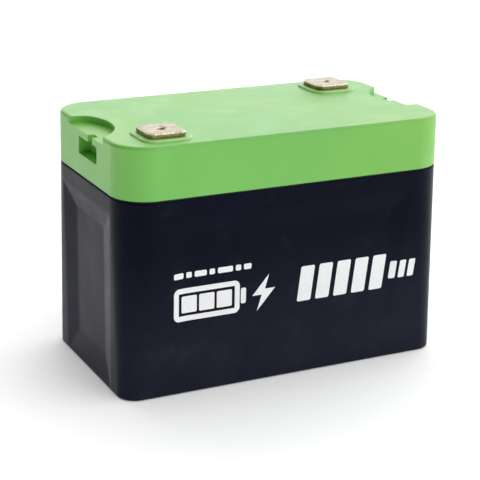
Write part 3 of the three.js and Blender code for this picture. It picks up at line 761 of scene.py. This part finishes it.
# ---------------------------------------------------------------- terminals
def build_terminal(name, cx, cy):
    n_arc, n_line = 7, 5
    h = PAD / 2

    def square(half, r, z):
        return [(x, y, z) for x, y, z in plain_ring(half, half, r, z, n_arc, n_line)]

    base = square(h, PAD_R, 0)
    angles = [math.atan2(y, x) for x, y, _ in base]

    def circle(r, z, fn=None):
        return [((fn(a, z) if fn else r) * math.cos(a), (fn(a, z) if fn else r) * math.sin(a), z) for a in angles]

    pitch = 1.25

    def thread(a, z):
        t = (z / pitch - a / (2 * math.pi)) % 1.0
        fade = min(1.0, max(0.0, (PAD_TOP - 1.2 - z) / 0.6))
        return THREAD_R - 0.62 * (1 - abs(2 * t - 1)) * fade

    rings = []
    rings.append(circle(POST_R - 0.8, POST_LOW))
    rings.append(circle(POST_R, POST_LOW + 0.8))
    rings.append(circle(POST_R, PAD_LOW - 0.3))
    rings.append(circle(POST_R + 0.3, PAD_LOW))
    rings.append(square(h - 0.5, PAD_R - 0.5, PAD_LOW))
    rings.append(square(h - 0.12, PAD_R - 0.12, PAD_LOW + 0.12))
    rings.append(square(h, PAD_R, PAD_LOW + 0.5))
    # bevelled upper edge with small roundings at both sides of the bevel
    b = 1.15
    for dz, o in [(-b - 0.12, 0.0), (-b + 0.05, 0.03), (-b + 0.2, 0.14), (-0.22, b - 0.2), (-0.08, b - 0.02), (0.0, b + 0.22)]:
        rings.append(square(h - o, PAD_R - o * 0.8, PAD_TOP + dz))
    rings.append(circle(THREAD_R + 1.45, PAD_TOP))
    rings.append(circle(THREAD_R + 1.25, PAD_TOP - 0.08))
    rings.append(circle(THREAD_R + 0.05, PAD_TOP - 1.15))
    z = PAD_TOP - 1.25
    while z > THREAD_LOW + 0.3:
        rings.append(circle(0, z, thread))
        z -= pitch / 6
    rings.append(circle(THREAD_R - 0.6, THREAD_LOW + 0.2))
    rings.append(circle(THREAD_R - 1.4, THREAD_LOW))
    verts, faces = bridge(rings)
    verts = [(x + cx, y + cy, z) for x, y, z in verts]
    return make_object(name, verts, faces)


for label, s in (("positive", -1), ("negative", 1)):
    t = smooth(build_terminal("terminal_" + label, s * TERM_X, s * TERM_Y), 38)
    piece(t, mat_terminal, "terminal_metal", "terminal_block_" + label)


# ---------------------------------------------------------------- printed marks on the front
INK = 0.14


def front_y(x, z):
    return -(WIDTH / 2 - side_in(x, z))


def slab(name, quads_2d, verts_2d):
    """A thin printed shape laid over the front wall: verts_2d are (x, z), quads_2d index them, counter-clockwise seen from the front."""
    n = len(verts_2d)
    verts = [(x, front_y(x, z) - INK, z) for x, z in verts_2d] + [(x, front_y(x, z) + 0.25, z) for x, z in verts_2d]
    faces = [tuple(q) for q in quads_2d] + [tuple(n + i for i in reversed(q)) for q in quads_2d]
    edges = {}
    for q in quads_2d:
        for i in range(len(q)):
            a, b = q[i], q[(i + 1) % len(q)]
            edges[(a, b)] = edges.get((a, b), 0) + 1
    for (a, b) in edges:
        if (b, a) not in edges:
            faces.append((b, a, n + a, n + b))
    return verts, faces


def bar(x0, x1, z0, z1, r, slant=0.0, step=2.0):
    """Rounded bar as a grid of columns; slant leans it to the right with height."""
    nx = max(2, int(round((x1 - x0) / step)))
    xs = set(np.linspace(x0 + r, x1 - r, nx))
    for k in range(7):
        a = math.radians(90 * k / 6)
        xs.add(x0 + r - r * math.cos(a))
        xs.add(x1 - r + r * math.cos(a))
    xs = sorted(xs)
    clean = [xs[0]]
    for x in xs[1:]:
        if x - clean[-1] > 0.02:
            clean.append(x)
    xs = clean
    rows = 7
    verts, quads = [], []
    for x in xs:
        dx = max(0.0, x0 + r - x, x - (x1 - r))
        cut = r - math.sqrt(max(0.0, r * r - dx * dx))
        cut = min(cut, (z1 - z0) / 2 - 0.02)
        for j in range(rows + 1):
            z = z0 + cut + (z1 - z0 - 2 * cut) * j / rows
            verts.append((x + slant * (z - z0), z))
    for i in range(len(xs) - 1):
        for j in range(rows):
            a = i * (rows + 1) + j
            quads.append((a, a + rows + 1, a + rows + 2, a + 1))
    return verts, quads


def frame_shape(x0, x1, z0, z1, r, w):
    """A hollow rounded rectangle."""
    def loop(o, rr):
        hx, hz = (x1 - x0) / 2 - o, (z1 - z0) / 2 - o
        return [((x0 + x1) / 2 + u, (z0 + z1) / 2 + v) for u, v, _ in plain_ring(hx, hz, rr, 0, 6, 14)]
    outer, mid, inner = loop(0, r), loop(w / 2, max(0.6, r - w / 2)), loop(w, max(0.4, r - w))
    n = len(outer)
    verts = outer + mid + inner
    quads = []
    for k in (0, 1):
        for i in range(n):
            j = (i + 1) % n
            quads.append((k * n + i, k * n + j, (k + 1) * n + j, (k + 1) * n + i))
    return verts, quads


def build_print():
    shapes = []
    # charge pictogram: outline, nub and cells
    shapes.append(frame_shape(-108.5, -47.5, 65.5, 94.5, 5.0, 4.6))
    shapes.append(bar(-46.4, -41.6, 73.0, 87.0, 1.6))
    for k in range(3):
        x = -101.2 + 16.2 * k
        shapes.append(bar(x, x + 14.0, 72.6, 87.4, 1.2))
    # bolt
    shapes.append(([(-20.0, 96.0), (-35.5, 78.2), (-26.6, 78.2), (-31.0, 64.0), (-14.0, 83.2), (-23.6, 83.2)], [(0, 1, 2, 5), (2, 3, 4, 5)]))
    # level bars
    for k in range(5):
        x = 7.5 + 17.9 * k
        shapes.append(bar(x, x + 13.2, 66.5, 98.0, 1.6, 0.12))
    for k in range(3):
        x = 98.6 + 9.4 * k
        shapes.append(bar(x, x + 6.4, 74.5, 90.5, 1.3, 0.12))
    # row of dashes above
    x = -108.5
    for w in (9.0, 5.0, 11.0, 5.0, 14.0, 5.0, 7.0):
        shapes.append(bar(x, x + w, 103.2, 108.2, 1.2))
        x += w + 2.6
    verts, faces = [], []
    for v2, q2 in shapes:
        v, f = slab("p", q2, v2)
        o = len(verts)
        verts += v
        faces += [tuple(o + i for i in q) for q in f]
    return make_object("front_print", verts, faces)


marks = smooth(build_print(), 30, False)
bm_fix(marks)
piece(marks, mat_ink, "case_plastic")

# ---------------------------------------------------------------- carried-over CAD nodes
record = frame["record"]
slot_of = {s["node"]: s["material_slot"] for s in record["subparts"]}
for name, node in frame["nodes"].items():
    node.data.materials.clear()
    node.data.materials.append(SLOT_MATERIALS[slot_of[name]])

for obj in PIECES:
    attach(obj, "root")


# ---------------------------------------------------------------- stage
def sweep_floor():
    nx, ny = 24, 60
    verts, faces = [], []
    prof = []
    for j in range(ny + 1):
        t = j / ny
        y = -6.0 + 12.0 * t
        prof.append((y, -0.0004))
    for y, z in prof:
        for i in range(nx + 1):
            verts.append((-7 + 14 * i / nx, y, z))
    for j in range(ny):
        for i in range(nx):
            a = j * (nx + 1) + i
            faces.append((a, a + 1, a + nx + 2, a + nx + 1))
    return make_object("studio_floor", verts, faces, 1.0)


floor = sweep_floor()
fm = Nodes("studio_paper")
tooth = fm.noise(400.0, 2.0)
fm.set(Base_Color=fm.mix(fm.ramp(tooth, 0.3, 0.7), (0.925, 0.925, 0.93), (0.935, 0.935, 0.94)), Roughness=0.9, IOR=1.3)
floor.data.materials.append(fm.m)

# a soft dome: a broad panel overhead and soft lobes from behind, from the front right and the right; the back-left
# lobe has zero weight
WORLD_BASE, LOBE_BACK, LOBE_FRONT, LOBE_LEFT, LOBE_RIGHT = 0.02, 1.75, 1.05, 0.0, 0.2
TOP_BOX, FLOOR_FILL = 57.0, 1.3
world = bpy.data.worlds.new("studio")
scene.world = world
world.use_nodes = True
wt = world.node_tree
bg = wt.nodes["Background"]
bg.inputs[0].default_value = (1.0, 1.0, 1.0, 1)
wtc = wt.nodes.new("ShaderNodeTexCoord")
total = wt.nodes.new("ShaderNodeValue")
total.name = "base"
total.outputs[0].default_value = WORLD_BASE
total = total.outputs[0]
for name, axis, lo, hi, weight in (("back", (0.40, 0.85, 0.34), 0.55, 0.95, LOBE_BACK), ("front", (0.72, -0.62, 0.30), 0.20, 0.90, LOBE_FRONT),
                                   ("left", (-0.62, 0.72, 0.30), 0.20, 0.90, LOBE_LEFT), ("right", (0.95, 0.0, 0.3), 0.2, 0.9, LOBE_RIGHT)):
    dot = wt.nodes.new("ShaderNodeVectorMath")
    dot.operation = "DOT_PRODUCT"
    dot.inputs[1].default_value = Vector(axis).normalized()
    wt.links.new(wtc.outputs["Generated"], dot.inputs[0])
    lobe = wt.nodes.new("ShaderNodeMapRange")
    lobe.interpolation_type = "SMOOTHSTEP"
    lobe.name = name
    lobe.inputs["From Min"].default_value = lo
    lobe.inputs["From Max"].default_value = hi
    lobe.inputs["To Min"].default_value = 0.0
    lobe.inputs["To Max"].default_value = weight
    wt.links.new(dot.outputs["Value"], lobe.inputs["Value"])
    add = wt.nodes.new("ShaderNodeMath")
    add.operation = "ADD"
    wt.links.new(total, add.inputs[0])
    wt.links.new(lobe.outputs[0], add.inputs[1])
    total = add.outputs[0]
path = wt.nodes.new("ShaderNodeLightPath")
seen = wt.nodes.new("ShaderNodeMix")     # the backdrop beyond the floor is plain white
seen.data_type = "FLOAT"
wt.links.new(path.outputs["Is Camera Ray"], seen.inputs[0])
wt.links.new(total, seen.inputs[2])
seen.inputs[3].default_value = 1.0
wt.links.new(seen.outputs[0], bg.inputs[1])


def area(name, loc, target, size, size_y, watts, colour=(1, 1, 1)):
    light = bpy.data.lights.new(name, "AREA")
    light.shape = "RECTANGLE"
    light.size, light.size_y = size, size_y
    light.energy = watts
    light.color = colour
    obj = bpy.data.objects.new(name, light)
    obj.location = loc
    obj.rotation_euler = (Vector(target) - Vector(loc)).to_track_quat("-Z", "Y").to_euler()
    scene.collection.objects.link(obj)
    return obj


area("top_box", (0.3, 0.6, 3.0), (0.3, 0.6, 0.0), 6.0, 6.0, TOP_BOX)

# fill for the floor alone, so that the contact shadow stays faint
fill = bpy.data.lights.new("floor_fill", "SUN")
fill.energy = FLOOR_FILL
fill.angle = math.radians(90)
fill_obj = bpy.data.objects.new("floor_fill", fill)
scene.collection.objects.link(fill_obj)
lit = bpy.data.collections.new("floor_only")
lit.objects.link(floor)
fill_obj.light_linking.receiver_collection = lit
fill_obj.light_linking.blocker_collection = lit

# ---------------------------------------------------------------- camera
yaw, pitch, roll = math.radians(-26.462), math.radians(18.459), 0.0170025
back = Vector((math.sin(yaw) * math.cos(pitch), -math.cos(yaw) * math.cos(pitch), math.sin(pitch)))
xc = Vector((0, 0, 1)).cross(back).normalized()
yc = back.cross(xc)
c, s = math.cos(roll), math.sin(roll)
xc, yc = c * xc + s * yc, -s * xc + c * yc
origin = (back * 4.414772 + xc * -0.0141500 + yc * 0.3035478) * 0.306
cam_data = bpy.data.cameras.new("camera")
cam_data.lens = 109.896
cam_data.sensor_width = 36.0
cam_data.sensor_fit = "HORIZONTAL"
cam_data.clip_start = 0.05
cam_data.clip_end = 50
cam = bpy.data.objects.new("camera", cam_data)
rot = Matrix((xc, yc, back)).transposed()
cam.matrix_world = Matrix.Translation(origin) @ rot.to_4x4()
scene.collection.objects.link(cam)
scene.camera = cam

scene.view_settings.view_transform = "Standard"
scene.view_settings.look = "None"
scene.view_settings.exposure = 0.0
scene.view_settings.gamma = 1.0

bpy.context.view_layer.update()
